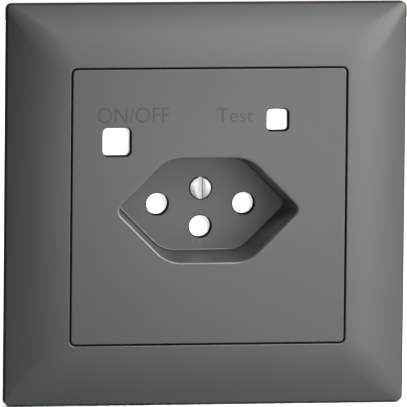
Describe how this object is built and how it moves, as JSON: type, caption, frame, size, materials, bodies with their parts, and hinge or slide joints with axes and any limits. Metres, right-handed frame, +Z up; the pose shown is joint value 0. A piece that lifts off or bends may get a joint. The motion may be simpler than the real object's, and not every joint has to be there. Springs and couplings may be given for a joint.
{
  "type": "gfci breaker",
  "caption": "Square flush-mounted three-pin socket outlet with a built-in residual-current breaker, with on/off and test buttons and a recessed six-sided pin well.",
  "frame": {"origin": "centre of the circle of box-screw holes, in the plane of the wall", "axes": "+Y into the wall, +Z up, +X to the right seen from the front; the cover faces -Y"},
  "size_m": [0.088, 0.0417, 0.088],
  "materials": {
    "cover_plastic": "fine satin, moulded, dark grey",
    "button_plastic": "smooth, moulded, white",
    "insert_plastic": "moulded, light grey",
    "inner_plastic": "moulded, black",
    "support_steel": "zinc plated sheet",
    "screw_steel": "zinc plated",
    "spring_steel": "drawn wire",
    "brass": "turned and stamped",
    "copper": "enamelled wire",
    "contact_silver": "polished rivets",
    "ferrite": "pressed and sintered",
    "board": "glass-filled laminate",
    "component_blue": "lacquered",
    "component_dark": "moulded"
  },
  "bodies": {
    "socket": {"cover_frame": "cover_plastic", "front_plate": "cover_plastic", "cover_screw": "screw_steel", "support_plate": "support_steel", "insert_screws": "screw_steel", "insert_cover": "insert_plastic", "rear_housing": "insert_plastic", "housing_screws": "screw_steel", "threaded_bush": "brass", "shutter_spring": "spring_steel", "line_socket_contact": "brass", "neutral_socket_contact": "brass", "earth_socket_contact": "brass", "contact_block": "inner_plastic", "terminal_line_in": "brass", "terminal_line_out": "brass", "terminal_earth": "brass", "terminal_neutral_out": "brass", "terminal_neutral_in": "brass", "terminal_screws": "screw_steel", "terminal_block": "inner_plastic", "line_busbar": "brass", "neutral_busbar": "brass", "earth_busbar": "brass", "line_feed": "brass", "neutral_feed": "brass", "line_fixed_contacts": "contact_silver", "neutral_fixed_contacts": "contact_silver", "on_off_spring": "spring_steel", "test_spring": "spring_steel", "on_off_spring_seat": "inner_plastic", "test_spring_seat": "inner_plastic", "toggle_lever_pin": "screw_steel", "lever_bracket": "inner_plastic", "opening_spring": "spring_steel", "coil_yoke": "support_steel", "coil_bobbin": "inner_plastic", "coil_winding": "copper", "latch_pin": "screw_steel", "sensing_core": "ferrite", "sensing_winding": "copper", "test_contact_leaf": "brass", "test_fixed_contact": "brass", "circuit_board": "board", "capacitors": "component_blue", "surge_varistor": "component_blue", "control_chip": "component_dark", "thyristor": "component_dark", "resistors": "component_blue"},
    "on_off_push": {"on_off_button": "button_plastic"},
    "test_push": {"test_button": "button_plastic"},
    "toggle": {"toggle_lever": "inner_plastic"},
    "carriage": {"contact_carriage": "inner_plastic", "line_moving_contacts": "contact_silver", "neutral_moving_contacts": "contact_silver"},
    "shutter_slider": {"shutter": "button_plastic"},
    "plunger": {"trip_plunger": "screw_steel"},
    "hook": {"latch_hook": "support_steel"}
  },
  "joints": [
    {"name": "on_off_press", "type": "slide", "parent": "socket", "child": "on_off_push", "axis": [0, 1, 0], "range_m": [0, 0.0018], "stiffness_N_per_m": 200, "deforming": ["on_off_spring"]},
    {"name": "test_press", "type": "slide", "parent": "socket", "child": "test_push", "axis": [0, 1, 0], "range_m": [0, 0.0012], "stiffness_N_per_m": 200, "deforming": ["test_spring"]},
    {"name": "toggle_turn", "type": "hinge", "parent": "socket", "child": "toggle", "pos_m": [-0.013, 0.0095, 0.0152], "axis": [0, 0, 1], "range_deg": [-14.5, 0]},
    {"name": "carriage_slide", "type": "slide", "parent": "socket", "child": "carriage", "axis": [0, 1, 0], "range_m": [-0.002, 0], "deforming": ["opening_spring"]},
    {"name": "shutter_slide", "type": "slide", "parent": "socket", "child": "shutter_slider", "axis": [-1, 0, 0], "range_m": [0, 0.0052], "stiffness_N_per_m": 80, "deforming": ["shutter_spring"]},
    {"name": "plunger_slide", "type": "slide", "parent": "socket", "child": "plunger", "axis": [-1, 0, 0], "range_m": [0, 0.0008], "stiffness_N_per_m": 200},
    {"name": "hook_turn", "type": "hinge", "parent": "socket", "child": "hook", "pos_m": [0.0035, 0.0165, 0.018], "axis": [0, 0, 1], "range_deg": [0, 18.5]}
  ],
  "couplings": [
    {"joint": "toggle_turn", "follows": "on_off_press", "rad_per_m": -136.99},
    {"joint": "carriage_slide", "follows": "on_off_press", "ratio": -1.0959},
    {"joint": "hook_turn", "follows": "plunger_slide", "rad_per_m": 400}
  ]
}
